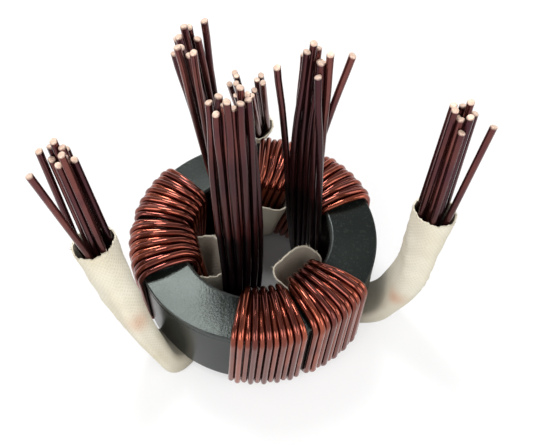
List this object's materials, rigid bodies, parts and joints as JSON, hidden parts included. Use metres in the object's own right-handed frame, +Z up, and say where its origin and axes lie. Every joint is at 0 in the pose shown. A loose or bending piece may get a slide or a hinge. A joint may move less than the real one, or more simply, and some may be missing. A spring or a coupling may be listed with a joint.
{
  "type": "toroidal inductor",
  "caption": "Toroidal inductor: a ring core in a closed round case, wound with bundles of stiff round wire whose ends stand up in the bore and rise outside it in woven sleeves.",
  "frame": {"origin": "on the ring's axis, in the plane that the part stands on", "axes": "+Z up along the ring's axis towards the lead ends, -Y towards the viewer of the picture, +X to the viewer's right"},
  "size_m": [0.1159, 0.0995, 0.1077],
  "materials": {
    "case": "satin",
    "core": "satin",
    "wire": "gloss",
    "sleeve": "matte"
  },
  "bodies": {
    "root": {"case_cup": "case", "case_lid": "case", "tape_core": "core", "winding_1_strand_01": "wire", "winding_1_strand_02": "wire", "winding_1_strand_03": "wire", "winding_1_strand_04": "wire", "winding_1_strand_05": "wire", "winding_1_strand_06": "wire", "winding_1_strand_07": "wire", "winding_1_strand_08": "wire", "winding_1_strand_09": "wire", "winding_1_strand_10": "wire", "winding_1_strand_11": "wire", "winding_1_sleeve": "sleeve", "winding_2_strand_01": "wire", "winding_2_strand_02": "wire", "winding_2_strand_03": "wire", "winding_2_strand_04": "wire", "winding_2_strand_05": "wire", "winding_2_strand_06": "wire", "winding_2_strand_07": "wire", "winding_2_strand_08": "wire", "winding_2_strand_09": "wire", "winding_2_strand_10": "wire", "winding_2_strand_11": "wire", "winding_2_sleeve": "sleeve", "winding_3_strand_01": "wire", "winding_3_strand_02": "wire", "winding_3_strand_03": "wire", "winding_3_strand_04": "wire", "winding_3_strand_05": "wire", "winding_3_strand_06": "wire", "winding_3_strand_07": "wire", "winding_3_strand_08": "wire", "winding_3_strand_09": "wire", "winding_3_strand_10": "wire", "winding_3_strand_11": "wire", "winding_3_sleeve": "sleeve"}
  },
  "joints": []
}
